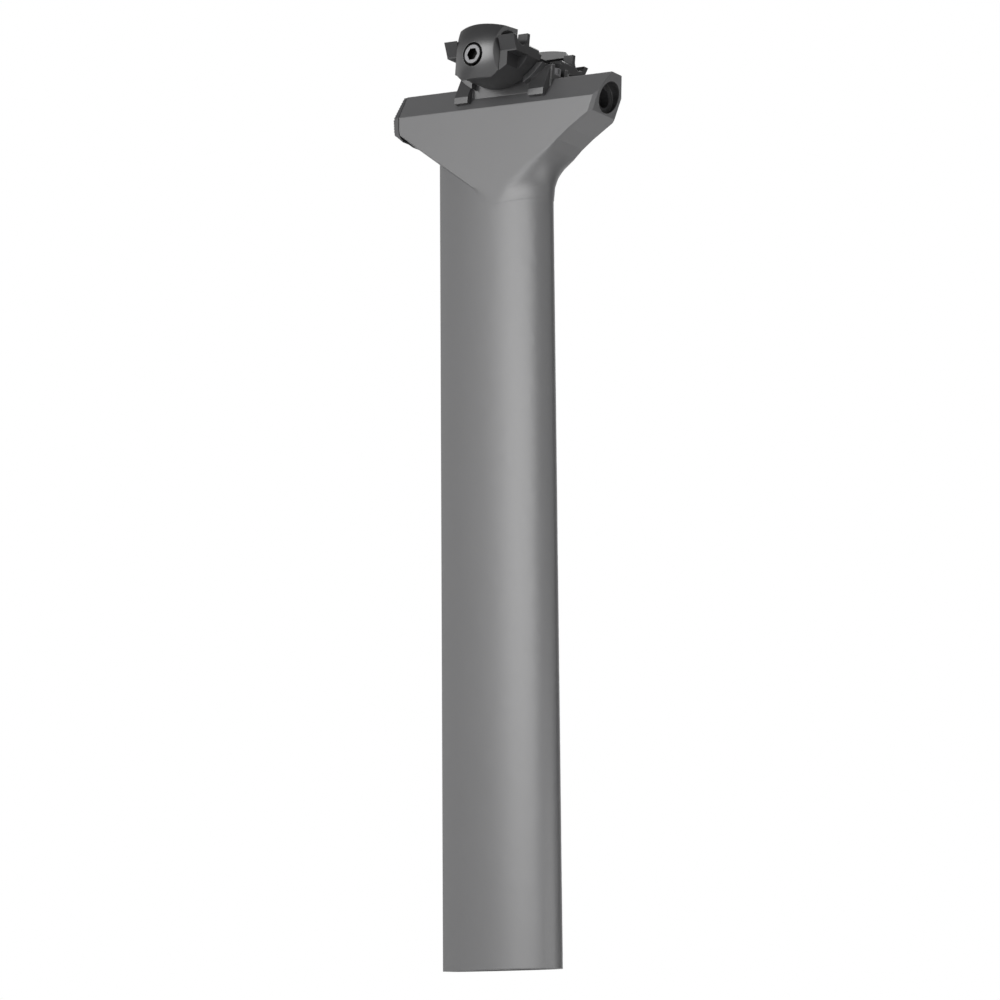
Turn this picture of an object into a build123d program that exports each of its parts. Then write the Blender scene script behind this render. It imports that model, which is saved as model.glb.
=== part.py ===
"""Bicycle seatpost with an aero-section shaft, a long rail-shaped head and a sliding, tilting saddle clamp.

Units are millimetres. The origin lies on the shaft's axis at its lower end, +Z runs up the shaft, +X points to the
front of the bicycle and +Y to its left. The head's top rail and the clamp on it use a frame of their own, sloped
with the rail: along it, across it, and up from its flat top.
"""

import math
import os

from build123d import *

# Shaft: a hollow moulding with a round nose, smooth flanks and a truncated tail
shaft_nose_x = 29.0
shaft_tail_x = -31.5
shaft_widest_x = 3.0
shaft_thickness = 20.0
shaft_tail_flat = 9.0
shaft_tail_corner = 2.0
shaft_wall = 2.4
shaft_bore_top = 325.0
flank_step = 0.03

# Head: a straight rail with a roof-shaped top, carried by two sloping arms
rail_slope = 6.5
rail_origin_x = 7.0
rail_origin_z = 396.2
head_front_length = 58.6
head_rear_length = 58.0
head_flat_width = 7.5
head_roof_height = 11.6
front_face_lean = 23.3
front_bevel = 1.5
front_arm_slope = 27.6
front_arm_meets_z = 357.1
front_arm_blend = 30.0
rear_arm_slope = 38.4
rear_arm_meets_z = 366.3
rear_arm_blend = 6.0
rear_arm_web = 7.0
rear_arm_bevel_width = 4.5
rear_arm_bevel_height = 1.0
rear_corner_radius = 8.0
shaft_top_inside_head = 6.0

# Level sections of the front arm from the shaft up, each: height, corner length, half-width before it is trimmed to
# the head's sides, and half-width of the blunt front
front_sections = (
    (338.95, 25.7, 10.06, 0.3),
    (345.0, 24.4, 10.3, 0.3),
    (350.0, 16.8, 10.6, 0.4),
    (354.7, 9.3, 11.0, 0.8),
    (358.3, 4.5, 11.5, 2.0),
    (362.0, 3.0, 11.5, 5.0),
    (366.0, 2.5, 11.0, 7.5),
    (371.0, 2.2, 11.0, 8.0),
    (375.0, 2.2, 11.0, 8.2),
)
corner_curve = 0.5523

# Track slot in the top of the head, open at the rear end
slot_neck_width = 4.8
slot_neck_depth = 4.6
track_width = 10.0
track_height = 7.4
track_wall = 1.3
slot_end_wall = 1.5
fit_gap = 0.1
slide_gap = 0.25

# Round port in the front face
port_drop = 11.0
port_radius = 6.9
port_depth = 3.2
port_bush_radius = 5.6
port_bush_bore = 4.4
port_bush_length = 5.0

# Ridged cap on the rear end; its profile gives drop from the top corner and reach from the cap's inner side
end_cap_gap = 0.35
end_cap_profile = (
    (0.2, 1.5),
    (3.0, 1.85),
    (8.4, 2.4),
    (11.2, 2.65),
    (12.6, 2.95),
    (17.9, 2.65),
    (19.4, 2.3),
    (20.8, 0.9),
)
end_cap_toe_length = 2.6
end_cap_toe_thickness = 0.5
end_cap_plug_length = 7.0
end_cap_plug_gap = 0.15
ridge_pitch = 1.4
ridge_height = 0.35
end_cap_screw_drop = 16.0
end_cap_screw_floor = 1.5
end_cap_screw_radius = 1.5
end_cap_screw_head_radius = 2.6
end_cap_screw_head_height = 1.3
end_cap_screw_length = 8.0
insert_radius = 2.3
insert_length = 6.5

# Saddle rails that the clamp is made for
saddle_rail_radius = 3.5
saddle_rail_spacing = 44.0
saddle_rail_height = 14.8
groove_gap = 0.15

# Rocking joint between carriage and cradle
tilt_height = 25.3
rocker_radius = 28.4
rocker_inner_radius = 22.8
rocker_gap = 0.3
rocker_inner_y = 5.2
rocker_cheek_y = 8.4

# Carriage
carriage_front = 27.0
carriage_rear = 24.9
carriage_top = 6.3
carriage_top_half_width = 6.0
foot_half_width = 10.6
foot_top = -5.6
foot_bottom = -8.6
claw_front_start = 17.8
claw_front_end = 26.3
claw_rear_start = 16.4
claw_rear_end = 24.1
bridge_half_width = 7.2
seat_rim = 2.4
seat_gap = 0.05
seat_flange_start = 14.5
carriage_screw_inset = 3.8
carriage_screw_radius = 2.0
carriage_screw_head_radius = 3.5
carriage_screw_head_height = 2.6
carriage_screw_hex = 2.5
carriage_washer_thickness = 0.8
pocket_gap = 0.4
pocket_floor = 2.2
bar_height = 4.0
bar_end_margin = 4.6
screw_depth_past_bar = 0.15
thread_gap = 0.05

# Cradle
cradle_front = 21.2
cradle_rear = 17.9
cradle_middle_top = 12.8
cradle_centre_top = 10.8
cradle_centre_half_width = 9.0
cradle_front_bevel = 0.8
inner_horn_y = 16.5
inner_horn_top = 17.5
horn_start = 15.9
outer_horn_y = 28.8
outer_horn_top = 14.6
cradle_knee_y = 25.6
cradle_knee_height = 8.4
cradle_foot_y = 21.5
cradle_undercut_height = 7.8
cradle_undercut_length = 6.0

# Clamp caps and the bolt across them
bolt_height = 7.0
bolt_radius = 3.0
bolt_gap = 0.25
bolt_head_radius = 4.75
bolt_head_height = 3.8
bolt_hex = 5.0
bolt_hex_depth = 2.6
washer_radius = 5.0
washer_thickness = 0.8
cap_face_y = 30.6
cap_dome_height = 9.4
cap_dome_long_radius = 26.0
cap_dome_tall_radius = 24.0
cap_top = 21.6
cap_top_radius = 72.0
cap_lip_y = 18.4
cap_seat_y = 25.4
cap_half_length = 9.3
cap_lip_half_length = 15.5
cap_lip_bottom = 17.2
cap_bottom = -3.2
cap_end_gap = 0.3
cap_front_gap = 3.4
cap_boss_radius = 7.4
cap_boss_end_y = 21.0
cap_boss_top = 9.9
counterbore_floor_y = 25.6
counterbore_gap = 0.4
nut_across_flats = 8.6
nut_end_y = 30.0

# Worked out from the sizes above
far = 200.0
half_thickness = shaft_thickness / 2
nose_length = shaft_nose_x - shaft_widest_x
tail_length = shaft_widest_x - shaft_tail_x
tail_reach = tail_length / math.sqrt(1 - (shaft_tail_flat / shaft_thickness) ** 2)
rail_groove_y = saddle_rail_spacing / 2
groove_radius = saddle_rail_radius + groove_gap
roof_run = half_thickness - head_flat_width / 2
front_screw_x = carriage_front - carriage_screw_inset
rear_screw_x = carriage_screw_inset - carriage_rear

rail_frame = Plane(
    origin=(rail_origin_x, 0, rail_origin_z),
    x_dir=Vector(1, 0, 0).rotate(Axis.Y, rail_slope),
    z_dir=Vector(0, 0, 1).rotate(Axis.Y, rail_slope),
)
rail_along = rail_frame.x_dir
rail_up = rail_frame.z_dir


def rail_point(along, across, up):
    """A point given in the rail's own frame."""
    return rail_frame.from_local_coords(Vector(along, across, up))


def cross_plane(along=0.0):
    """Looks along the rail: sketch x is across, to the left, and sketch y is up."""
    return Plane(origin=rail_point(along, 0, 0), x_dir=(0, 1, 0), z_dir=rail_along)


def side_plane(across=0.0):
    """Looks across the rail: sketch x is along it, forward, and sketch y is up."""
    return Plane(origin=rail_point(0, across, 0), x_dir=rail_along, z_dir=(0, -1, 0))


def level_plane(up=0.0):
    """Lies parallel to the rail's flat top: sketch x is along and sketch y across."""
    return Plane(origin=rail_point(0, 0, up), x_dir=rail_along, z_dir=rail_up)


def line_meet(point_a, angle_a, point_b, angle_b):
    """Where two lines in a plane cross, each given by a point and an angle in degrees."""
    ax, az = point_a
    bx, bz = point_b
    da = (math.cos(math.radians(angle_a)), math.sin(math.radians(angle_a)))
    db = (math.cos(math.radians(angle_b)), math.sin(math.radians(angle_b)))
    t = ((bx - ax) * db[1] - (bz - az) * db[0]) / (da[0] * db[1] - da[1] * db[0])
    return (ax + t * da[0], az + t * da[1])


# Section of the shaft: half an outline from nose to tail, mirrored for the other flank
def shaft_line(inset):
    """Points of the shaft's smooth outline, from the right tail corner round the nose to the left one."""
    half_width = half_thickness - flank_step - inset
    nose = nose_length - inset
    reach = tail_reach - inset
    left = []
    for share in (0.0, 0.09, 0.3, 0.58, 0.83):
        left.append((shaft_widest_x + nose * (1 - share**2), half_width * math.sqrt(1 - (1 - share**2) ** 2)))
    left.append((shaft_widest_x, half_width))
    for share in (0.35, 0.7, 1.0):
        run = share * (tail_length - inset)
        left.append((shaft_widest_x - run, half_width * math.sqrt(1 - (run / reach) ** 2)))
    right = [(x, -y) for x, y in reversed(left[1:])]
    return right + left


# Front edge of the front arm: the nose, then a round blend, then the sloping underside
front_blend_centre = (
    shaft_nose_x + front_arm_blend,
    front_arm_meets_z - front_arm_blend * math.tan(math.radians(45 - front_arm_slope / 2)),
)
front_blend_top = front_blend_centre[1] + front_arm_blend * math.cos(math.radians(front_arm_slope))


def front_tip(z):
    """How far forward the front arm reaches at a height."""
    if z < front_blend_top:
        rise = max(0, z - front_blend_centre[1])
        return front_blend_centre[0] - math.sqrt(front_arm_blend**2 - rise**2) + flank_step
    return shaft_nose_x + (z - front_arm_meets_z) / math.tan(math.radians(front_arm_slope))


# Corners of the head's outline, seen from the side
head_rear_top = rail_point(-head_rear_length, 0, 0)
head_front_top = rail_point(head_front_length, 0, 0)
rear_top = (head_rear_top.X, head_rear_top.Z)
front_top = (head_front_top.X, head_front_top.Z)
nose_corner = (shaft_nose_x, front_arm_meets_z)
tail_corner = (shaft_tail_x, rear_arm_meets_z)
front_low = line_meet(front_top, 90 - front_face_lean, nose_corner, front_arm_slope)
rear_low = line_meet(rear_top, 90, tail_corner, 180 - rear_arm_slope)
vee = line_meet((shaft_widest_x, 0), 90, tail_corner, -rear_arm_slope)
rear_slope = math.radians(rear_arm_slope)
rear_arm_section = Plane(
    origin=(rear_low[0], 0, rear_low[1]), x_dir=(0, 1, 0), z_dir=(math.cos(rear_slope), 0, -math.sin(rear_slope))
)
web_corner = line_meet(
    (shaft_tail_x + flank_step, 0), 90, (shaft_tail_x, rear_arm_meets_z + flank_step), 180 - rear_arm_slope
)
rear_face_x = rear_top[0]
shaft_top = rear_arm_meets_z + shaft_top_inside_head
front_loft_top = front_sections[-1][0]
lean = math.radians(front_face_lean)
front_face_plane = Plane(
    origin=(front_top[0], 0, front_top[1]), x_dir=(0, 1, 0), z_dir=(math.cos(lean), 0, -math.sin(lean))
)
front_face_section = Plane(
    origin=(front_top[0], 0, front_top[1]), x_dir=(0, 1, 0), z_dir=(-math.sin(lean), 0, -math.cos(lean))
)
port_centre = (
    head_front_length - port_drop * math.sin(math.radians(front_face_lean - rail_slope)),
    -port_drop * math.cos(math.radians(front_face_lean - rail_slope)),
)
port_plane = Plane(origin=rail_point(port_centre[0], 0, port_centre[1]), x_dir=(0, -1, 0), z_dir=-rail_along)
slot_front_end = port_centre[0] - port_depth - port_bush_length - fit_gap - slot_end_wall

# The two wedges cut away beside the roof-shaped top, seen along the rail
roof_wedges = [
    [
        (side * head_flat_width / 2, 0),
        (side * half_thickness, -head_roof_height),
        (side * shaft_thickness, -head_roof_height),
        (side * shaft_thickness, shaft_thickness),
        (side * head_flat_width / 2, shaft_thickness),
    ]
    for side in (-1, 1)
]

# Outline of the rear cap, seen from the side: an inner side along the head's end, and ridges down the outer one
cap_inner_x = rear_face_x - end_cap_gap
rear_corner_run = rear_corner_radius / math.tan(math.radians((90 + rear_arm_slope) / 2))
rear_corner_centre = (rear_face_x + rear_corner_radius, rear_low[1] + rear_corner_run)
toe_gap = end_cap_gap * 0.7
toe_reach = rear_corner_radius + toe_gap + end_cap_toe_thickness
slope_along = (math.cos(rear_slope), -math.sin(rear_slope))
slope_out = (-math.sin(rear_slope), -math.cos(rear_slope))


def toe_point(reach, length):
    """A point under the rear arm: so far from the rounded corner's centre, and so far on along the slope."""
    return (
        rear_corner_centre[0] + reach * slope_out[0] + length * slope_along[0],
        rear_corner_centre[1] + reach * slope_out[1] + length * slope_along[1],
    )


cap_outline = [
    toe_point(toe_reach, 0),
    toe_point(toe_reach, end_cap_toe_length),
    toe_point(rear_corner_radius + toe_gap, end_cap_toe_length),
]
for share in (1.0, 0.75, 0.5, 0.25, 0.0):
    angle = share * (math.pi / 2 - rear_slope)
    reach = rear_corner_radius + end_cap_gap + share * (toe_gap - end_cap_gap)
    cap_outline.append((
        rear_corner_centre[0] - reach * math.cos(angle),
        rear_corner_centre[1] - reach * math.sin(angle),
    ))
cap_outline.append((cap_inner_x, rear_top[1] - end_cap_profile[0][0]))
for (drop, reach), (next_drop, next_reach) in zip(end_cap_profile, end_cap_profile[1:]):
    steps = max(1, round((next_drop - drop) / ridge_pitch))
    for step in range(steps):
        ridge_drop = drop + (next_drop - drop) * step / steps
        ridge_reach = reach + (next_reach - reach) * step / steps
        half_pitch = (next_drop - drop) / steps / 2
        cap_outline.append((cap_inner_x - ridge_reach, rear_top[1] - ridge_drop))
        cap_outline.append((cap_inner_x - ridge_reach + ridge_height, rear_top[1] - ridge_drop - half_pitch))
cap_outline.append((cap_inner_x - end_cap_profile[-1][1], rear_top[1] - end_cap_profile[-1][0]))
end_cap_screw_plane = Plane(
    origin=(rear_face_x, 0, rear_top[1] - end_cap_screw_drop), x_dir=(0, 1, 0), z_dir=(1, 0, 0)
)
screw_head_seat = end_cap_gap + end_cap_screw_floor

# Rocking joint and clamp
tilt_axis = Axis(origin=rail_point(0, 0, tilt_height), direction=(0, 1, 0))
rocker_section = Plane(origin=rail_point(0, 0, tilt_height), x_dir=(0, 1, 0), z_dir=rail_along)
middle_plane = Plane(origin=rail_frame.origin, x_dir=rail_along, z_dir=(0, 1, 0))
seat_flange_outer_y = foot_half_width
pocket_radius = carriage_screw_head_radius + pocket_gap
screw_seat = pocket_floor + carriage_washer_thickness
bar_top = -slot_neck_depth - track_wall - slide_gap
bar_width = track_width - 2 * track_wall - 2 * slide_gap
plug_width = track_width - 2 * track_wall - 2 * end_cap_plug_gap
plug_height = track_height - 2 * track_wall - 2 * end_cap_plug_gap
boss_gap = 3 * seat_gap
cap_end_slope = (cap_lip_half_length - cap_half_length) / (cap_face_y - cap_lip_y)
cap_pocket_inner = cap_half_length + cap_end_gap + cap_end_slope * (cap_face_y - cap_seat_y)
cap_pocket_outer = cap_half_length + cap_end_gap - cap_end_slope * cap_end_gap
bolt_seat_y = counterbore_floor_y + washer_thickness
dome_axis_y = cap_dome_long_radius - cap_face_y
dome_plane = Plane(origin=rail_point(0, dome_axis_y, cap_dome_height), x_dir=(0, -1, 0), z_dir=rail_along)
dome_axis = Axis(origin=rail_point(0, dome_axis_y, 0), direction=rail_up)
dome_half_height = math.sqrt(cap_dome_tall_radius**2 - (cap_dome_tall_radius - cap_dome_long_radius) ** 2)


def roof_y(up):
    """Half-width of the carriage's opening at a height below the flat top, a seat gap off the roof."""
    return head_flat_width / 2 + (seat_gap - up) * roof_run / head_roof_height


os.makedirs("parts", exist_ok=True)

# Post body: shaft and head moulded in one piece
with BuildPart() as post_body:
    with BuildSketch(Plane.XZ) as head_outline:
        with BuildLine():
            Polyline(rear_top, front_top, front_low, nose_corner, vee, rear_low, close=True)
        make_face()
        fillet(head_outline.vertices().sort_by_distance((*rear_low, 0))[0], rear_corner_radius)
    extrude(amount=half_thickness, both=True)
    with BuildSketch(rear_arm_section):
        for side in (-1, 1):
            with BuildLine():
                Polyline(
                    (side * (half_thickness - rear_arm_bevel_width), 0),
                    (side * half_thickness, rear_arm_bevel_height),
                    (side * shaft_thickness, rear_arm_bevel_height),
                    (side * shaft_thickness, -shaft_thickness),
                    (side * (half_thickness - rear_arm_bevel_width), -shaft_thickness),
                    close=True,
                )
            make_face()
    extrude(amount=far, both=True, mode=Mode.SUBTRACT)
    with Locations((shaft_widest_x, 0, front_loft_top)):
        Box(far, far, far, align=(Align.MIN, Align.CENTER, Align.MAX), mode=Mode.SUBTRACT)
    for z, corner, half_width, front_half_width in front_sections:
        tip = front_tip(z)
        bulge = corner_curve * (half_width - front_half_width)
        with BuildSketch(Plane.XY.offset(z)):
            with BuildLine():
                Line((shaft_widest_x, half_width), (tip - corner, half_width))
                Bezier(
                    (tip - corner, half_width),
                    (tip - corner * (1 - corner_curve), half_width),
                    (tip, front_half_width + bulge),
                    (tip, front_half_width),
                )
                Line((tip, front_half_width), (tip, -front_half_width))
                Bezier(
                    (tip, -front_half_width),
                    (tip, -front_half_width - bulge),
                    (tip - corner * (1 - corner_curve), -half_width),
                    (tip - corner, -half_width),
                )
                Line((tip - corner, -half_width), (shaft_widest_x, -half_width))
                Line((shaft_widest_x, -half_width), (shaft_widest_x, half_width))
            make_face()
    loft(ruled=True)
    with Locations((0, 0, front_loft_top)):
        Box(far, 2 * half_thickness, far, mode=Mode.INTERSECT)
    with BuildSketch(front_face_plane):
        Rectangle(far, far / 2)
    extrude(amount=far / 4, mode=Mode.SUBTRACT)
    with BuildSketch(front_face_section):
        for side in (-1, 1):
            with BuildLine():
                Polyline(
                    (side * (half_thickness - front_bevel), 0),
                    (side * half_thickness, -front_bevel),
                    (side * shaft_thickness, -front_bevel),
                    (side * shaft_thickness, front_bevel),
                    (side * (half_thickness - front_bevel), front_bevel),
                    close=True,
                )
            make_face()
    extrude(amount=2 * shaft_thickness, both=True, mode=Mode.SUBTRACT)
    with BuildSketch(cross_plane(-far / 2)):
        for wedge in roof_wedges:
            with BuildLine():
                Polyline(*wedge, close=True)
            make_face()
    extrude(amount=far, mode=Mode.SUBTRACT)
    with BuildSketch() as shaft_section:
        with BuildLine():
            flank_line = Spline(*shaft_line(0))
            Line(flank_line @ 1, flank_line @ 0)
        make_face()
        fillet(shaft_section.vertices().group_by(Axis.X)[0], shaft_tail_corner)
    extrude(amount=shaft_top)
    with BuildSketch(Plane.XZ) as tail_web:
        with BuildLine():
            Polyline(
                web_corner,
                (
                    web_corner[0] - rear_arm_web * math.cos(rear_slope),
                    web_corner[1] + rear_arm_web * math.sin(rear_slope),
                ),
                (shaft_tail_x + shaft_wall, web_corner[1] + rear_arm_web),
                (shaft_tail_x + shaft_wall, web_corner[1] - 2 * rear_arm_blend),
                (web_corner[0], web_corner[1] - 2 * rear_arm_blend),
                close=True,
            )
        make_face()
        fillet(tail_web.vertices().sort_by_distance((*web_corner, 0))[0], rear_arm_blend)
    extrude(amount=rear_arm_web / 2, both=True)
    with BuildSketch():
        with BuildLine():
            bore_line = Spline(*shaft_line(shaft_wall))
            Line(bore_line @ 1, bore_line @ 0)
        make_face()
    extrude(amount=shaft_bore_top, mode=Mode.SUBTRACT)
    with BuildSketch(cross_plane(-far / 2)):
        with Locations((0, -slot_neck_depth / 2)):
            Rectangle(slot_neck_width, slot_neck_depth + fit_gap)
        with Locations((0, -slot_neck_depth - track_height / 2)):
            Rectangle(track_width + 2 * fit_gap, track_height + 2 * fit_gap)
    extrude(amount=far / 2 + slot_front_end, mode=Mode.SUBTRACT)
    with BuildSketch(port_plane):
        Circle(port_radius)
    extrude(amount=port_depth, both=True, mode=Mode.SUBTRACT)
    with BuildSketch(port_plane.offset(port_depth)):
        Circle(port_bush_radius + fit_gap)
    extrude(amount=port_bush_length + fit_gap, mode=Mode.SUBTRACT)
    with BuildSketch(end_cap_screw_plane):
        Circle(insert_radius + fit_gap)
    extrude(amount=insert_length + fit_gap, mode=Mode.SUBTRACT)
post_body.part.label = "post_body"
export_step(post_body.part, "parts/post_body.step")

# Metal track bonded into the head's slot
with BuildPart() as slide_track:
    with BuildSketch(cross_plane(-far / 2)):
        with Locations((0, -slot_neck_depth - track_height / 2)):
            Rectangle(track_width, track_height)
            Rectangle(track_width - 2 * track_wall, track_height - 2 * track_wall, mode=Mode.SUBTRACT)
        with Locations((0, -slot_neck_depth - track_wall / 2)):
            Rectangle(slot_neck_width, track_wall * 2, mode=Mode.SUBTRACT)
    extrude(amount=far / 2 + slot_front_end - fit_gap)
    with Locations((rear_face_x + fit_gap, 0, rail_origin_z)):
        Box(far, far, far, align=(Align.MAX, Align.CENTER, Align.CENTER), mode=Mode.SUBTRACT)
slide_track.part.label = "slide_track"
export_step(slide_track.part, "parts/slide_track.step")

# Ridged cap on the head's rear end, with a plug that closes the track
with BuildPart() as rear_end_cap:
    with BuildSketch(Plane.XZ):
        with BuildLine():
            Polyline(*cap_outline, close=True)
        make_face()
    extrude(amount=half_thickness, both=True)
    with BuildSketch(cross_plane(-far / 2)):
        for wedge in roof_wedges:
            with BuildLine():
                Polyline(*wedge, close=True)
            make_face()
    extrude(amount=far, mode=Mode.SUBTRACT)
    with BuildSketch(cross_plane(-head_rear_length - end_cap_gap)):
        with Locations((0, -slot_neck_depth - track_height / 2)):
            Rectangle(plug_width, plug_height)
    extrude(amount=end_cap_plug_length + end_cap_gap)
    with BuildSketch(end_cap_screw_plane):
        Circle(end_cap_screw_radius + fit_gap)
    extrude(amount=far / 10, both=True, mode=Mode.SUBTRACT)
    with BuildSketch(end_cap_screw_plane.offset(-screw_head_seat)):
        Circle(end_cap_screw_head_radius + fit_gap)
    extrude(amount=-far / 10, mode=Mode.SUBTRACT)
rear_end_cap.part.label = "rear_end_cap"
export_step(rear_end_cap.part, "parts/rear_end_cap.step")

# Threaded insert for the rear cap's screw
with BuildPart() as rear_insert:
    with BuildSketch(end_cap_screw_plane.offset(fit_gap)):
        Circle(insert_radius)
        Circle(end_cap_screw_radius + thread_gap, mode=Mode.SUBTRACT)
    extrude(amount=insert_length - fit_gap)
rear_insert.part.label = "rear_insert"
export_step(rear_insert.part, "parts/rear_insert.step")

# Screw that holds the rear cap
with BuildPart() as rear_cap_screw:
    with BuildSketch(end_cap_screw_plane.offset(-screw_head_seat)):
        Circle(end_cap_screw_head_radius)
    extrude(amount=-end_cap_screw_head_height)
    with BuildSketch(end_cap_screw_plane.offset(-screw_head_seat)):
        Circle(end_cap_screw_radius)
    extrude(amount=end_cap_screw_length)
    with BuildSketch(end_cap_screw_plane.offset(-screw_head_seat - end_cap_screw_head_height)):
        RegularPolygon(end_cap_screw_radius, 6)
    extrude(amount=end_cap_screw_head_height * 0.7, mode=Mode.SUBTRACT)
rear_cap_screw.part.label = "rear_cap_screw"
export_step(rear_cap_screw.part, "parts/rear_cap_screw.step")

# Bush in the front port
with BuildPart() as front_port_bush:
    with BuildSketch(port_plane.offset(port_depth)):
        Circle(port_bush_radius)
        Circle(port_bush_bore, mode=Mode.SUBTRACT)
    extrude(amount=port_bush_length)
front_port_bush.part.label = "front_port_bush"
export_step(front_port_bush.part, "parts/front_port_bush.step")

# Carriage: sits astride the roof-shaped rail on four claws, with a round seat for the cradle
with BuildPart() as carriage:
    with BuildSketch(cross_plane(-carriage_rear)):
        for side in (-1, 1):
            with BuildLine():
                Polyline(
                    (0, seat_gap),
                    (side * head_flat_width / 2, seat_gap),
                    (side * roof_y(foot_bottom), foot_bottom),
                    (side * foot_half_width, foot_bottom),
                    (side * foot_half_width, foot_top),
                    (side * carriage_top_half_width, carriage_top),
                    (0, carriage_top),
                    close=True,
                )
            make_face()
    extrude(amount=carriage_rear + carriage_front)
    with BuildSketch(level_plane(-far / 2)):
        for side in (-1, 1):
            with BuildLine():
                Polyline(
                    (-claw_rear_start, side * bridge_half_width),
                    (claw_front_start, side * bridge_half_width),
                    (claw_front_start, side * far),
                    (-claw_rear_start, side * far),
                    close=True,
                )
            make_face()
            for inner_end, outer_end in ((claw_front_end, far), (-claw_rear_end, -far)):
                with BuildLine():
                    Polyline(
                        (inner_end, side * carriage_top_half_width),
                        (outer_end, side * carriage_top_half_width),
                        (outer_end, side * far),
                        (inner_end, side * far),
                        close=True,
                    )
                make_face()
    extrude(amount=far, mode=Mode.SUBTRACT)
    with BuildSketch(side_plane(seat_flange_outer_y)):
        with Locations((0, tilt_height)):
            Circle(rocker_radius + rocker_gap + seat_rim)
            Circle(rocker_radius + rocker_gap, mode=Mode.SUBTRACT)
        with Locations((0, tilt_height)):
            Rectangle(2 * seat_flange_start, 2 * far, mode=Mode.SUBTRACT)
        with Locations((0, carriage_top)):
            Rectangle(far, far, align=(Align.CENTER, Align.MIN), mode=Mode.SUBTRACT)
    flange = extrude(amount=seat_flange_outer_y - carriage_top_half_width)
    mirror(flange, about=middle_plane)
    with BuildSketch(rocker_section):
        with BuildLine():
            Polyline(
                (-seat_flange_outer_y - 1, 0),
                (-seat_flange_outer_y - 1, rocker_radius + rocker_gap),
                (-rocker_cheek_y, rocker_radius + rocker_gap),
                (-rocker_inner_y, rocker_inner_radius + rocker_gap),
                (rocker_inner_y, rocker_inner_radius + rocker_gap),
                (rocker_cheek_y, rocker_radius + rocker_gap),
                (seat_flange_outer_y + 1, rocker_radius + rocker_gap),
                (seat_flange_outer_y + 1, 0),
                close=True,
            )
        make_face()
    revolve(axis=tilt_axis, mode=Mode.SUBTRACT)
    for screw_x, outward in ((front_screw_x, far), (rear_screw_x, -far)):
        with BuildSketch(level_plane(pocket_floor)):
            with Locations((screw_x, 0)):
                Circle(pocket_radius)
            with Locations((screw_x + outward / 2, 0)):
                Rectangle(far, 2 * pocket_radius)
        extrude(amount=far, mode=Mode.SUBTRACT)
        with BuildSketch(level_plane(-1)):
            with Locations((screw_x, 0)):
                Circle(carriage_screw_radius + bolt_gap)
        extrude(amount=far, mode=Mode.SUBTRACT)
carriage.part.label = "carriage"
export_step(carriage.part, "parts/carriage.step")

# Bar in the track that the carriage's screws pull up against
with BuildPart() as slide_bar:
    with BuildSketch(cross_plane(rear_screw_x - bar_end_margin)):
        with Locations((0, bar_top - bar_height / 2)):
            Rectangle(bar_width, bar_height)
    extrude(amount=front_screw_x - rear_screw_x + 2 * bar_end_margin)
    with BuildSketch(level_plane(bar_top - bar_height)):
        with Locations((front_screw_x, 0), (rear_screw_x, 0)):
            Circle(carriage_screw_radius + thread_gap)
    extrude(amount=bar_height, mode=Mode.SUBTRACT)
slide_bar.part.label = "slide_bar"
export_step(slide_bar.part, "parts/slide_bar.step")

# Screws and washers at the two ends of the carriage
with BuildPart() as carriage_washer_front:
    with BuildSketch(level_plane(pocket_floor)):
        with Locations((front_screw_x, 0)):
            Circle(carriage_screw_head_radius)
            Circle(carriage_screw_radius + thread_gap, mode=Mode.SUBTRACT)
    extrude(amount=carriage_washer_thickness)
carriage_washer_front.part.label = "carriage_washer_front"
export_step(carriage_washer_front.part, "parts/carriage_washer_front.step")

with BuildPart() as carriage_screw_front:
    with BuildSketch(level_plane(screw_seat)):
        with Locations((front_screw_x, 0)):
            Circle(carriage_screw_head_radius)
    extrude(amount=carriage_screw_head_height)
    with BuildSketch(level_plane(screw_seat)):
        with Locations((front_screw_x, 0)):
            Circle(carriage_screw_radius)
    extrude(amount=-(screw_seat - bar_top + bar_height + screw_depth_past_bar))
    with BuildSketch(level_plane(screw_seat + carriage_screw_head_height)):
        with Locations((front_screw_x, 0)):
            RegularPolygon(carriage_screw_hex / 2, 6, major_radius=False)
    extrude(amount=-carriage_screw_head_height * 0.6, mode=Mode.SUBTRACT)
carriage_screw_front.part.label = "carriage_screw_front"
export_step(carriage_screw_front.part, "parts/carriage_screw_front.step")

to_rear_screw = Location(rail_along * (rear_screw_x - front_screw_x))
with BuildPart() as carriage_washer_rear:
    add(carriage_washer_front.part.moved(to_rear_screw))
carriage_washer_rear.part.label = "carriage_washer_rear"
export_step(carriage_washer_rear.part, "parts/carriage_washer_rear.step")

with BuildPart() as carriage_screw_rear:
    add(carriage_screw_front.part.moved(to_rear_screw))
carriage_screw_rear.part.label = "carriage_screw_rear"
export_step(carriage_screw_rear.part, "parts/carriage_screw_rear.step")

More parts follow.
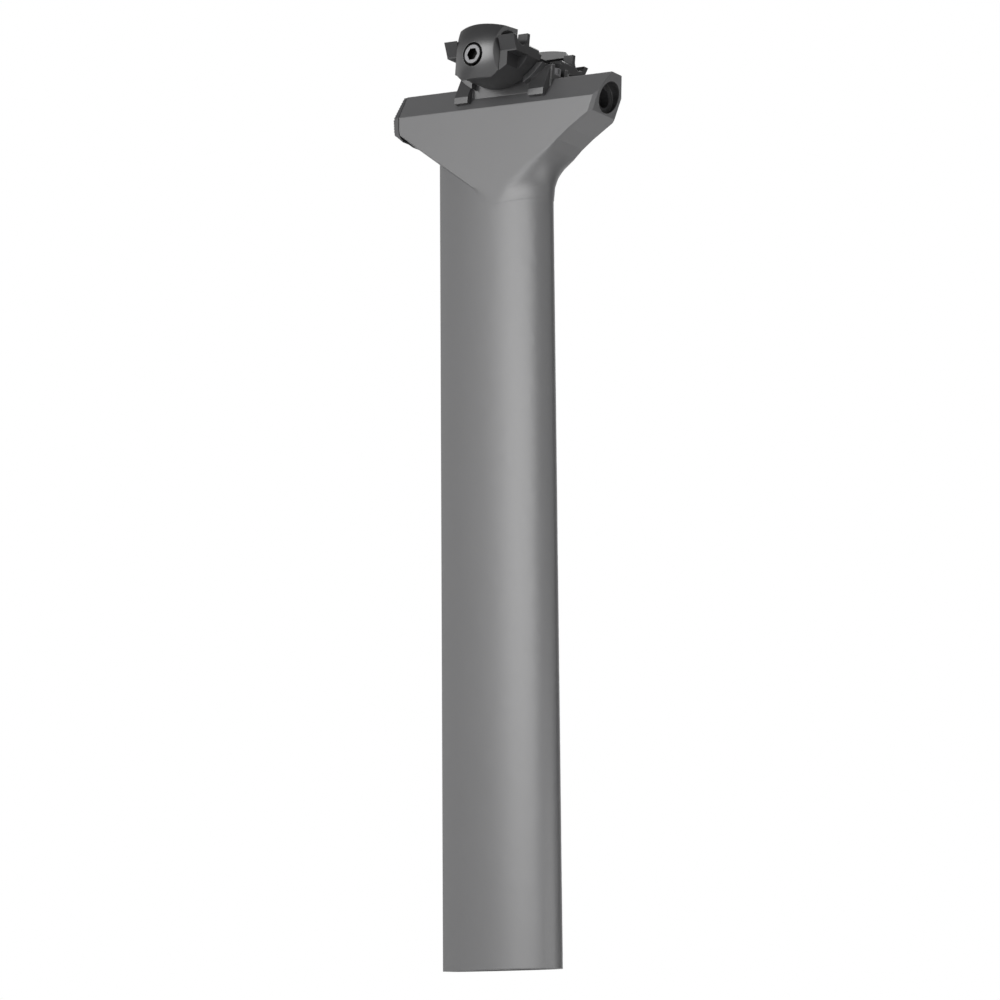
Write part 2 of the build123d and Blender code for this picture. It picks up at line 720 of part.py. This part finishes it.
# Cradle: carries the saddle rails in two grooves and rocks in the carriage's seat
with BuildPart() as cradle:
    with BuildSketch(cross_plane(-cradle_rear)):
        for side in (-1, 1):
            with BuildLine():
                Polyline(
                    (0, cradle_centre_top),
                    (side * cradle_centre_half_width, cradle_centre_top),
                    (side * cradle_centre_half_width, cradle_middle_top),
                    (side * inner_horn_y, cradle_middle_top),
                    (side * inner_horn_y, inner_horn_top),
                    (side * rail_groove_y, inner_horn_top),
                    (side * rail_groove_y, outer_horn_top),
                    (side * outer_horn_y, outer_horn_top),
                    (side * cradle_knee_y, cradle_knee_height),
                    (side * cradle_foot_y, -far / 2),
                    (0, -far / 2),
                    close=True,
                )
            make_face()
    extrude(amount=cradle_rear + cradle_front)
    with BuildSketch(rocker_section):
        with BuildLine():
            Polyline(
                (-far, 0),
                (-far, rocker_radius),
                (-rocker_cheek_y, rocker_radius),
                (-rocker_inner_y, rocker_inner_radius),
                (rocker_inner_y, rocker_inner_radius),
                (rocker_cheek_y, rocker_radius),
                (far, rocker_radius),
                (far, 0),
                close=True,
            )
        make_face()
    revolve(axis=tilt_axis, mode=Mode.INTERSECT)
    with BuildSketch(side_plane(far / 2)):
        for end in (cradle_front, -cradle_rear):
            with BuildLine():
                Polyline(
                    (end, cradle_undercut_height),
                    (end - math.copysign(cradle_undercut_length, end), tilt_height - rocker_radius - slide_gap),
                    (math.copysign(far, end), tilt_height - rocker_radius - slide_gap),
                    (math.copysign(far, end), cradle_undercut_height),
                    close=True,
                )
            make_face()
    extrude(amount=far, mode=Mode.SUBTRACT)
    with BuildSketch(cross_plane(-far / 2)):
        for side in (-1, 1):
            with Locations((side * rail_groove_y, saddle_rail_height)):
                Circle(groove_radius)
                Rectangle(2 * groove_radius, far, align=(Align.CENTER, Align.MIN))
    extrude(amount=far, mode=Mode.SUBTRACT)
    with BuildSketch(level_plane(cradle_middle_top)):
        Rectangle(2 * horn_start, 2 * rail_groove_y)
    extrude(amount=far, mode=Mode.SUBTRACT)
    with BuildSketch(side_plane(0)):
        with BuildLine():
            Polyline(
                (cradle_front - cradle_front_bevel, cradle_middle_top),
                (cradle_front, cradle_middle_top - cradle_front_bevel),
                (far, cradle_middle_top),
                close=True,
            )
        make_face()
    extrude(amount=inner_horn_y, both=True, mode=Mode.SUBTRACT)
    with BuildSketch(level_plane(-far / 2)):
        for side in (-1, 1):
            with BuildLine():
                Polyline(
                    (-cap_pocket_inner, side * cap_seat_y),
                    (cap_pocket_inner, side * cap_seat_y),
                    (cap_pocket_outer + cap_front_gap, side * (cap_face_y + cap_end_gap)),
                    (-cap_pocket_outer, side * (cap_face_y + cap_end_gap)),
                    close=True,
                )
            make_face()
    extrude(amount=far, mode=Mode.SUBTRACT)
    with BuildSketch(side_plane(cap_face_y)):
        with Locations((0, bolt_height)):
            Circle(bolt_radius + bolt_gap)
    extrude(amount=2 * cap_face_y, mode=Mode.SUBTRACT)
    for side in (-1, 1):
        with BuildSketch(side_plane(side * (cap_boss_end_y - boss_gap))):
            with Locations((0, bolt_height)):
                Circle(cap_boss_radius + boss_gap)
            with Locations((0, cap_boss_top + boss_gap)):
                Rectangle(far, far, align=(Align.CENTER, Align.MIN), mode=Mode.SUBTRACT)
        extrude(amount=-side * far, mode=Mode.SUBTRACT)
cradle.part.label = "cradle"
export_step(cradle.part, "parts/cradle.step")

# Clamp caps: pulled together across the cradle, they hold the saddle rails down in its grooves
with BuildPart() as clamp_cap_right:
    with BuildSketch(level_plane(cap_bottom)):
        with BuildLine():
            Polyline(
                (-cap_lip_half_length, -cap_lip_y),
                (cap_lip_half_length, -cap_lip_y),
                (cap_half_length, -cap_face_y),
                (-cap_half_length, -cap_face_y),
                close=True,
            )
        make_face()
    extrude(amount=cap_top - cap_bottom)
    with BuildSketch(cross_plane(-far / 2)):
        with BuildLine():
            Polyline(
                (0, -far),
                (-cap_seat_y - seat_gap, -far),
                (-cap_seat_y - seat_gap, saddle_rail_height),
                (-rail_groove_y, saddle_rail_height),
                (-rail_groove_y, cap_lip_bottom),
                (0, cap_lip_bottom),
                close=True,
            )
        make_face()
        with Locations((-rail_groove_y, saddle_rail_height)):
            Circle(groove_radius)
    extrude(amount=far, mode=Mode.SUBTRACT)
    with BuildSketch(side_plane(-cap_boss_end_y)):
        with Locations((0, bolt_height)):
            Circle(cap_boss_radius)
        with Locations((0, cap_boss_top)):
            Rectangle(far, far, align=(Align.CENTER, Align.MIN), mode=Mode.SUBTRACT)
    extrude(amount=cap_seat_y + seat_gap + 1 - cap_boss_end_y)
    with BuildSketch(side_plane(0)):
        with Locations((0, cap_top - cap_top_radius)):
            Circle(cap_top_radius)
    extrude(amount=far, both=True, mode=Mode.INTERSECT)
    with BuildSketch(dome_plane):
        with BuildLine():
            dome_edge = ThreePointArc((0, -dome_half_height), (cap_dome_long_radius, 0), (0, dome_half_height))
            Line(dome_edge @ 1, dome_edge @ 0)
        make_face()
    revolve(axis=dome_axis, mode=Mode.INTERSECT)
    with BuildSketch(side_plane(-cap_face_y)):
        with Locations((0, bolt_height)):
            Circle(bolt_radius + bolt_gap)
    extrude(amount=-far, mode=Mode.SUBTRACT)
    with BuildSketch(side_plane(-counterbore_floor_y)):
        with Locations((0, bolt_height)):
            Circle(washer_radius + counterbore_gap)
    extrude(amount=far, mode=Mode.SUBTRACT)
clamp_cap_right.part.label = "clamp_cap_right"
export_step(clamp_cap_right.part, "parts/clamp_cap_right.step")

with BuildPart() as clamp_cap_left:
    add(clamp_cap_right.part.mirror(Plane.XZ))
clamp_cap_left.part.label = "clamp_cap_left"
export_step(clamp_cap_left.part, "parts/clamp_cap_left.step")

# Clamp bolt with its washers and nut
with BuildPart() as clamp_washer_right:
    with BuildSketch(side_plane(-counterbore_floor_y)):
        with Locations((0, bolt_height)):
            Circle(washer_radius)
            Circle(bolt_radius + thread_gap, mode=Mode.SUBTRACT)
    extrude(amount=washer_thickness)
clamp_washer_right.part.label = "clamp_washer_right"
export_step(clamp_washer_right.part, "parts/clamp_washer_right.step")

with BuildPart() as clamp_washer_left:
    add(clamp_washer_right.part.mirror(Plane.XZ))
clamp_washer_left.part.label = "clamp_washer_left"
export_step(clamp_washer_left.part, "parts/clamp_washer_left.step")

with BuildPart() as clamp_bolt:
    with BuildSketch(side_plane(-bolt_seat_y)):
        with Locations((0, bolt_height)):
            Circle(bolt_head_radius)
    extrude(amount=bolt_head_height)
    with BuildSketch(side_plane(-bolt_seat_y)):
        with Locations((0, bolt_height)):
            Circle(bolt_radius)
    extrude(amount=-bolt_seat_y - nut_end_y)
    with BuildSketch(side_plane(-bolt_seat_y - bolt_head_height)):
        with Locations((0, bolt_height)):
            RegularPolygon(bolt_hex / 2, 6, major_radius=False)
    extrude(amount=-bolt_hex_depth, mode=Mode.SUBTRACT)
clamp_bolt.part.label = "clamp_bolt"
export_step(clamp_bolt.part, "parts/clamp_bolt.step")

with BuildPart() as clamp_nut:
    with BuildSketch(side_plane(bolt_seat_y)):
        with Locations((0, bolt_height)):
            RegularPolygon(nut_across_flats / 2, 6, major_radius=False)
            Circle(bolt_radius + thread_gap, mode=Mode.SUBTRACT)
    extrude(amount=-(nut_end_y - bolt_seat_y))
clamp_nut.part.label = "clamp_nut"
export_step(clamp_nut.part, "parts/clamp_nut.step")
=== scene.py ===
"""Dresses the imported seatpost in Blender: materials for every piece, a pale stage and the photo's camera."""

import math

import bmesh
import bpy
from mathutils import Matrix, Vector


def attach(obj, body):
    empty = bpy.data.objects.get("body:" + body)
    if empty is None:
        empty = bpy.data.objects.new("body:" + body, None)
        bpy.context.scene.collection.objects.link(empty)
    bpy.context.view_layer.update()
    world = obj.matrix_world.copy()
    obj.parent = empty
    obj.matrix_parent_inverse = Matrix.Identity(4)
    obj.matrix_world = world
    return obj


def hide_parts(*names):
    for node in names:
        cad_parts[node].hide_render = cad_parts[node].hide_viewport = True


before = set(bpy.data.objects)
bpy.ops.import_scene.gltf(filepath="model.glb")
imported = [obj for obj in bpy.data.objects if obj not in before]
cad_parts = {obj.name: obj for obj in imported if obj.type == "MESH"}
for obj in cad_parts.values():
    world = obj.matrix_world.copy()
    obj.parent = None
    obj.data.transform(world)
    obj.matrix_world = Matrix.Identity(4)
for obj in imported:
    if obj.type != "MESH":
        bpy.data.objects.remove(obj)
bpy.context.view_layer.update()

# Materials

GLOSS_SWING = 0.03
MOTTLE = 0.06
MOTTLE_SCALE = 18.0
MOTTLE_DETAIL = 3.0
GRAIN_DETAIL = 2.0
GRAIN_DEPTH = 0.0002
EDGE_SAMPLES = 6
EDGE_RADIUS = 0.0003


def satin(name, colour, roughness, metallic=0.0, grain=900.0, bump=0.02, specular=0.5):
    """A satin surface with soft edges, a fine grain in its bump and a slight unevenness in its colour and gloss."""
    material = bpy.data.materials.new(name)
    material.use_nodes = True
    nodes = material.node_tree.nodes
    links = material.node_tree.links
    shader = nodes["Principled BSDF"]
    shader.inputs["Metallic"].default_value = metallic
    shader.inputs["Specular IOR Level"].default_value = specular
    place = nodes.new("ShaderNodeTexCoord")
    fine = nodes.new("ShaderNodeTexNoise")
    fine.inputs["Scale"].default_value = grain
    fine.inputs["Detail"].default_value = GRAIN_DETAIL
    broad = nodes.new("ShaderNodeTexNoise")
    broad.inputs["Scale"].default_value = MOTTLE_SCALE
    broad.inputs["Detail"].default_value = MOTTLE_DETAIL
    links.new(place.outputs["Object"], fine.inputs["Vector"])
    links.new(place.outputs["Object"], broad.inputs["Vector"])
    tint = nodes.new("ShaderNodeMix")
    tint.data_type = "RGBA"
    tint.inputs["A"].default_value = [c * (1 - MOTTLE) for c in colour] + [1.0]
    tint.inputs["B"].default_value = [c * (1 + MOTTLE) for c in colour] + [1.0]
    links.new(broad.outputs["Fac"], tint.inputs["Factor"])
    links.new(tint.outputs["Result"], shader.inputs["Base Color"])
    gloss = nodes.new("ShaderNodeMapRange")
    gloss.inputs["To Min"].default_value = roughness - GLOSS_SWING
    gloss.inputs["To Max"].default_value = roughness + GLOSS_SWING
    links.new(fine.outputs["Fac"], gloss.inputs["Value"])
    links.new(gloss.outputs["Result"], shader.inputs["Roughness"])
    relief = nodes.new("ShaderNodeBump")
    relief.inputs["Strength"].default_value = bump
    relief.inputs["Distance"].default_value = GRAIN_DEPTH
    links.new(fine.outputs["Fac"], relief.inputs["Height"])
    edges = nodes.new("ShaderNodeBevel")
    edges.samples = EDGE_SAMPLES
    edges.inputs["Radius"].default_value = EDGE_RADIUS
    links.new(edges.outputs["Normal"], relief.inputs["Normal"])
    links.new(relief.outputs["Normal"], shader.inputs["Normal"])
    return material


paint = satin("composite_paint", (0.088, 0.088, 0.09), 0.4, specular=1.0)
trim = satin("moulded_trim", (0.06, 0.06, 0.062), 0.5, grain=1400.0, bump=0.05)
clamp_finish = satin("clamp_anodised", (0.026, 0.026, 0.027), 0.3, specular=0.95, grain=1000.0, bump=0.012)
carriage_finish = satin("carriage_anodised", (0.04, 0.04, 0.041), 0.3, specular=1.0, grain=1000.0, bump=0.012)
cradle_finish = satin("cradle_anodised", (0.026, 0.026, 0.027), 0.42, grain=1000.0, bump=0.012)
bolt_finish = satin("bolt_steel", (0.19, 0.19, 0.195), 0.36, metallic=0.85, grain=1800.0)
dark_steel = satin("fastener_black", (0.16, 0.16, 0.165), 0.34, metallic=0.8, grain=1800.0)
bright_steel = satin("bar_steel", (0.42, 0.42, 0.43), 0.3, metallic=1.0, grain=1200.0)
track_finish = satin("track_anodised", (0.12, 0.12, 0.125), 0.4, metallic=0.6, grain=1500.0)
brass = satin("insert_brass", (0.62, 0.46, 0.2), 0.3, metallic=1.0, grain=1500.0)
bush_finish = satin("bush_anodised", (0.05, 0.05, 0.052), 0.4, metallic=0.5, grain=2000.0)


def measure(material, centre, axis):
    """Nodes that give a point's distance from an axis and its place along it, in metres."""
    nodes = material.node_tree.nodes
    links = material.node_tree.links
    place = nodes.new("ShaderNodeTexCoord")
    offset = nodes.new("ShaderNodeVectorMath")
    offset.operation = "SUBTRACT"
    offset.inputs[1].default_value = centre
    across = nodes.new("ShaderNodeVectorMath")
    across.operation = "CROSS_PRODUCT"
    across.inputs[1].default_value = axis
    reach = nodes.new("ShaderNodeVectorMath")
    reach.operation = "LENGTH"
    along = nodes.new("ShaderNodeVectorMath")
    along.operation = "DOT_PRODUCT"
    along.inputs[1].default_value = axis
    links.new(place.outputs["Object"], offset.inputs[0])
    links.new(offset.outputs["Vector"], across.inputs[0])
    links.new(across.outputs["Vector"], reach.inputs[0])
    links.new(offset.outputs["Vector"], along.inputs[0])
    return reach.outputs["Value"], along.outputs["Value"]


SHARP_FADE = 0.0001


def within(material, value, lowest, highest, fade=SHARP_FADE):
    """A node that is 1 where a value lies between two others and 0 elsewhere, with soft borders."""
    nodes = material.node_tree.nodes
    links = material.node_tree.links
    both = nodes.new("ShaderNodeMath")
    both.operation = "MULTIPLY"
    for slot, (start, end) in enumerate(((lowest - fade, lowest + fade), (highest + fade, highest - fade))):
        side = nodes.new("ShaderNodeMapRange")
        side.interpolation_type = "SMOOTHSTEP"
        side.inputs["From Min"].default_value = min(start, end)
        side.inputs["From Max"].default_value = max(start, end)
        side.inputs["To Min"].default_value = 0.0 if start < end else 1.0
        side.inputs["To Max"].default_value = 1.0 if start < end else 0.0
        links.new(value, side.inputs["Value"])
        links.new(side.outputs["Result"], both.inputs[slot])
    return both.outputs["Value"]


# Near black painted in as shade in recesses and in a ring around the bolt head.
PAINTED_SHADE_BLACK = (0.004, 0.004, 0.004, 1.0)


def paint_shade(material, centre, axis, reach, along):
    """Paints near-black shade between two distances from an axis and two places along it, such as the shade in a
    bore.
    """
    nodes = material.node_tree.nodes
    links = material.node_tree.links
    shader = nodes["Principled BSDF"]
    painted = shader.inputs["Base Color"].links[0].from_socket
    distance, place = measure(material, centre, axis)
    inside = nodes.new("ShaderNodeMath")
    inside.operation = "MULTIPLY"
    links.new(within(material, distance, *reach), inside.inputs[0])
    links.new(within(material, place, *along), inside.inputs[1])
    mix = nodes.new("ShaderNodeMix")
    mix.data_type = "RGBA"
    mix.inputs["B"].default_value = PAINTED_SHADE_BLACK
    links.new(inside.outputs["Value"], mix.inputs["Factor"])
    links.new(painted, mix.inputs["A"])
    links.new(mix.outputs["Result"], shader.inputs["Base Color"])


NO_LIMIT = 1.0
PORT_CENTRE = (0.0603, 0.0, 0.37952)
PORT_AXIS = (0.9936, 0.0, -0.1132)
PORT_RADIUS = 0.00695
PORT_DEPTH = 0.02
BOLT_CENTRE = (0.00779, 0.0, 0.40316)
BOLT_AXIS = (0.0, -1.0, 0.0)
SOCKET_RADIUS = 0.003
SOCKET_FLOOR = 0.03
BOLT_RIM_RADIUS = 0.0042

# Painted shade: the port's bore in the paint is coloured near black.
paint_shade(paint, PORT_CENTRE, PORT_AXIS, (-NO_LIMIT, PORT_RADIUS), (-PORT_DEPTH, NO_LIMIT))
# Painted shade: the bolt's hex socket is coloured near black.
paint_shade(bolt_finish, BOLT_CENTRE, BOLT_AXIS, (-NO_LIMIT, SOCKET_RADIUS), (-NO_LIMIT, SOCKET_FLOOR))
# Painted shade: the bolt head's rim beyond 4.2 mm from its axis is coloured near black.
paint_shade(bolt_finish, BOLT_CENTRE, BOLT_AXIS, (BOLT_RIM_RADIUS, NO_LIMIT), (0.0, NO_LIMIT))

PAINT_EDGE = 0.0006
ARM_BLEND = 0.006
ARM_BLEND_BOTTOM = 0.331
ARM_BLEND_TOP = 0.358
ARM_BLEND_REAR = -0.005
ARM_BLEND_FRONT = 0.08
ARM_BLEND_FADE = 0.004


def blend_arm(material):
    """Softens the shading where the front arm's flank dies out into the shaft's nose."""
    nodes = material.node_tree.nodes
    links = material.node_tree.links
    edges = next(node for node in nodes if node.bl_idname == "ShaderNodeBevel")
    _, height = measure(material, (0.0, 0.0, 0.0), (0.0, 0.0, 1.0))
    _, forward = measure(material, (0.0, 0.0, 0.0), (1.0, 0.0, 0.0))
    level = within(material, height, ARM_BLEND_BOTTOM, ARM_BLEND_TOP, ARM_BLEND_FADE)
    ahead = within(material, forward, ARM_BLEND_REAR, ARM_BLEND_FRONT, ARM_BLEND_FADE)
    share = nodes.new("ShaderNodeMath")
    share.operation = "MULTIPLY"
    links.new(level, share.inputs[0])
    links.new(ahead, share.inputs[1])
    radius = nodes.new("ShaderNodeMapRange")
    radius.inputs["To Min"].default_value = PAINT_EDGE
    radius.inputs["To Max"].default_value = ARM_BLEND
    links.new(share.outputs["Value"], radius.inputs["Value"])
    links.new(radius.outputs["Result"], edges.inputs["Radius"])


blend_arm(paint)

finishes = {
    "post_body": paint,
    "slide_track": track_finish,
    "slide_bar": bright_steel,
    "rear_end_cap": trim,
    "rear_cap_screw": dark_steel,
    "rear_insert": brass,
    "front_port_bush": bush_finish,
    "carriage": carriage_finish,
    "carriage_screw_front": dark_steel,
    "carriage_screw_rear": dark_steel,
    "carriage_washer_front": dark_steel,
    "carriage_washer_rear": dark_steel,
    "cradle": cradle_finish,
    "clamp_cap_right": clamp_finish,
    "clamp_cap_left": clamp_finish,
    "clamp_bolt": bolt_finish,
    "clamp_washer_right": dark_steel,
    "clamp_washer_left": dark_steel,
    "clamp_nut": dark_steel,
}
for name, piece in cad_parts.items():
    piece.data.materials.clear()
    piece.data.materials.append(finishes[name])

# Cuts that two of the solids lack

WELD_DISTANCE = 1e-6
RAIL_SLOPE = math.radians(6.5)
RAIL_FRAME = Matrix.Translation((0.007, 0.0, 0.3962)) @ Matrix.Rotation(RAIL_SLOPE, 4, "Y")
LEVEL_FRAME = Matrix.Identity(4)
HORN_UNDERSIDE = 0.0078
HORN_INNER_Y = 0.0172
BODY_REAR = -0.0128
BODY_FRONT = 0.0162
PAST_HORNS_X = 0.03
PAST_HORNS_Y = 0.04
BELOW_HORNS = -0.01
TOE_START = -0.0484
TOE_HALF_WIDTH = 0.0056
PAST_TOE_X = -0.04
PAST_TOE_Y = 0.02
BELOW_TOE = 0.36
ABOVE_TOE = 0.386


def block_at(where, lowest, highest):
    """A block with its sides along a frame."""
    middle = (Vector(lowest) + Vector(highest)) / 2
    size = Vector(highest) - Vector(lowest)
    mesh = bpy.data.meshes.new("cut")
    shape = bmesh.new()
    bmesh.ops.create_cube(shape, size=1.0)
    for corner in shape.verts:
        corner.co = where @ (middle + Vector(a * b for a, b in zip(corner.co, size)))
    shape.to_mesh(mesh)
    shape.free()
    block = bpy.data.objects.new("cut", mesh)
    bpy.context.collection.objects.link(block)
    return block


def cut_copy(node, name, blocks):
    """A copy of a CAD piece with blocks cut out of it, which stands for that piece."""
    piece = bpy.data.objects.new(name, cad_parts[node].data.copy())
    bpy.context.collection.objects.link(piece)
    piece.modifiers.new("weld", "WELD").merge_threshold = WELD_DISTANCE
    for block in blocks:
        cut = piece.modifiers.new("cut", "BOOLEAN")
        cut.operation = "DIFFERENCE"
        cut.solver = "EXACT"
        cut.object = block
    shape = bpy.data.meshes.new_from_object(piece.evaluated_get(bpy.context.evaluated_depsgraph_get()))
    piece.modifiers.clear()
    piece.data = shape
    shape.materials.clear()
    shape.materials.append(finishes[node])
    for block in blocks:
        bpy.data.objects.remove(block)
    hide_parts(node)
    return piece


horn_cuts = []
toe_cuts = []
for side in (-1, 1):
    near, far = sorted((side * HORN_INNER_Y, side * PAST_HORNS_Y))
    for start, end in ((-PAST_HORNS_X, BODY_REAR), (BODY_FRONT, PAST_HORNS_X)):
        horn_cuts.append(block_at(RAIL_FRAME, (start, near, BELOW_HORNS), (end, far, HORN_UNDERSIDE)))
    near, far = sorted((side * TOE_HALF_WIDTH, side * PAST_TOE_Y))
    toe_cuts.append(block_at(LEVEL_FRAME, (TOE_START, near, BELOW_TOE), (PAST_TOE_X, far, ABOVE_TOE)))
cradle_body = cut_copy("cradle", "cradle_body", horn_cuts)
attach(cradle_body, "cradle")
end_cap_body = cut_copy("rear_end_cap", "end_cap_body", toe_cuts)
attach(end_cap_body, "post")

# Soft edges on the clamp's pieces

SOFT_WIDTH = 0.0002
SOFT_SEGMENTS = 2
SOFT_CORNER = math.radians(20.0)
FLAT_FACE_WEIGHT = 90


def soften(piece):
    """Joins the faces of a CAD piece, rounds its sharp edges and shades what is left smooth."""
    weld = piece.modifiers.new("weld", "WELD")
    weld.merge_threshold = WELD_DISTANCE
    if "custom_normal" in piece.data.attributes:
        piece.data.attributes.remove(piece.data.attributes["custom_normal"])
    piece.data.shade_smooth()
    bevel = piece.modifiers.new("bevel", "BEVEL")
    bevel.width = SOFT_WIDTH
    bevel.segments = SOFT_SEGMENTS
    bevel.limit_method = "ANGLE"
    bevel.angle_limit = SOFT_CORNER
    bevel.use_clamp_overlap = True
    even = piece.modifiers.new("even", "WEIGHTED_NORMAL")
    even.mode = "FACE_AREA"
    even.weight = FLAT_FACE_WEIGHT


soften(cradle_body)
for name in ("carriage", "clamp_cap_right", "clamp_cap_left"):
    soften(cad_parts[name])

# Stage

FLOOR_Z = -0.06
FLOOR_SIZE = 12.0
FLOOR_COLOUR = (0.92, 0.92, 0.92, 1.0)
FLOOR_ROUGHNESS = 0.9

bpy.ops.mesh.primitive_plane_add(size=FLOOR_SIZE, location=(0.0, 0.0, FLOOR_Z))
floor = bpy.context.object
floor.name = "floor"
floor_finish = bpy.data.materials.new("stage_floor")
floor_finish.use_nodes = True
floor_shader = floor_finish.node_tree.nodes["Principled BSDF"]
floor_shader.inputs["Base Color"].default_value = FLOOR_COLOUR
floor_shader.inputs["Roughness"].default_value = FLOOR_ROUGHNESS
floor.data.materials.append(floor_finish)

# World: dim for diffuse light, and in reflections a white wall with a dark ceiling and one dark upright band

AMBIENT = 0.3
WALL = 1.0
CEILING = 0.2
CEILING_START = 0.25
CEILING_END = 0.65
BAND = 0.1
BAND_AZIMUTH = math.radians(133.0)
BAND_OUTER = math.radians(34.0)
BAND_INNER = math.radians(16.0)

world = bpy.data.worlds.new("studio")
bpy.context.scene.world = world
world.use_nodes = True
world_nodes = world.node_tree.nodes
world_links = world.node_tree.links
background = world_nodes["Background"]
path = world_nodes.new("ShaderNodeLightPath")
mirrored = world_nodes.new("ShaderNodeMath")
mirrored.operation = "MAXIMUM"
world_links.new(path.outputs["Is Glossy Ray"], mirrored.inputs[0])
world_links.new(path.outputs["Is Transmission Ray"], mirrored.inputs[1])
direction = world_nodes.new("ShaderNodeTexCoord")
split = world_nodes.new("ShaderNodeSeparateXYZ")
world_links.new(direction.outputs["Generated"], split.inputs["Vector"])
toward = world_nodes.new("ShaderNodeVectorMath")
toward.operation = "DOT_PRODUCT"
toward.inputs[1].default_value = (math.sin(BAND_AZIMUTH), -math.cos(BAND_AZIMUTH), 0.0)
world_links.new(direction.outputs["Generated"], toward.inputs[0])


def world_ramp(value, start, end, first, last):
    """A smooth change from one level to another between two values."""
    ramp = world_nodes.new("ShaderNodeMapRange")
    ramp.interpolation_type = "SMOOTHSTEP"
    ramp.inputs["From Min"].default_value = start
    ramp.inputs["From Max"].default_value = end
    ramp.inputs["To Min"].default_value = first
    ramp.inputs["To Max"].default_value = last
    world_links.new(value, ramp.inputs["Value"])
    return ramp.outputs["Result"]


ceiling = world_ramp(split.outputs["Z"], CEILING_START, CEILING_END, WALL, CEILING)
band = world_ramp(toward.outputs["Value"], math.cos(BAND_OUTER), math.cos(BAND_INNER), 1.0, BAND)
walls = world_nodes.new("ShaderNodeMath")
walls.operation = "MULTIPLY"
world_links.new(ceiling, walls.inputs[0])
world_links.new(band, walls.inputs[1])
room = world_nodes.new("ShaderNodeMix")
room.inputs["A"].default_value = AMBIENT
world_links.new(mirrored.outputs[0], room.inputs["Factor"])
world_links.new(walls.outputs["Value"], room.inputs["B"])
level = world_nodes.new("ShaderNodeMix")
level.inputs["B"].default_value = 1.0
world_links.new(path.outputs["Is Camera Ray"], level.inputs["Factor"])
world_links.new(room.outputs["Result"], level.inputs["A"])
background.inputs["Color"].default_value = (1.0, 1.0, 1.0, 1.0)
world_links.new(level.outputs["Result"], background.inputs["Strength"])

# Lamps

LAMP_SPREAD = math.radians(120.0)
LAMP_TARGET_Z = 0.22


def softbox(name, azimuth, elevation, distance, width, height, power):
    """A soft lamp that looks at the middle of the post from a direction given by azimuth, from -Y towards +X, and
    elevation.
    """
    a = math.radians(azimuth)
    e = math.radians(elevation)
    way = Vector((math.sin(a) * math.cos(e), -math.cos(a) * math.cos(e), math.sin(e)))
    data = bpy.data.lights.new(name, "AREA")
    data.shape = "RECTANGLE"
    data.size = width
    data.size_y = height
    data.energy = power
    data.spread = LAMP_SPREAD
    lamp = bpy.data.objects.new(name, data)
    bpy.context.collection.objects.link(lamp)
    lamp.visible_camera = False
    lamp.location = Vector((0.0, 0.0, LAMP_TARGET_Z)) + way * distance
    lamp.rotation_mode = "QUATERNION"
    lamp.rotation_quaternion = (-way).to_track_quat("-Z", "Y")


softbox("key", azimuth=-11.0, elevation=13.0, distance=1.9, width=1.5, height=1.15, power=10.5)
softbox("low", azimuth=50.0, elevation=-26.0, distance=0.55, width=0.5, height=0.3, power=0.55)
softbox("back", azimuth=180.0, elevation=60.0, distance=1.6, width=1.4, height=1.0, power=9.8)

# Camera, solved from the photo

LENS = 100.0
SENSOR = 36.0
CAMERA_PLACE = (
    (0.798611, 0.122786, 0.589190, 0.724503),
    (0.601796, -0.150103, -0.784417, -0.966317),
    (-0.007876, 0.981016, -0.193767, -0.032989),
    (0.0, 0.0, 0.0, 1.0),
)

camera_data = bpy.data.cameras.new("camera")
camera_data.lens = LENS
camera_data.sensor_width = SENSOR
camera = bpy.data.objects.new("camera", camera_data)
bpy.context.collection.objects.link(camera)
camera.matrix_world = Matrix(CAMERA_PLACE)
bpy.context.scene.camera = camera
bpy.context.scene.view_settings.view_transform = "Standard"
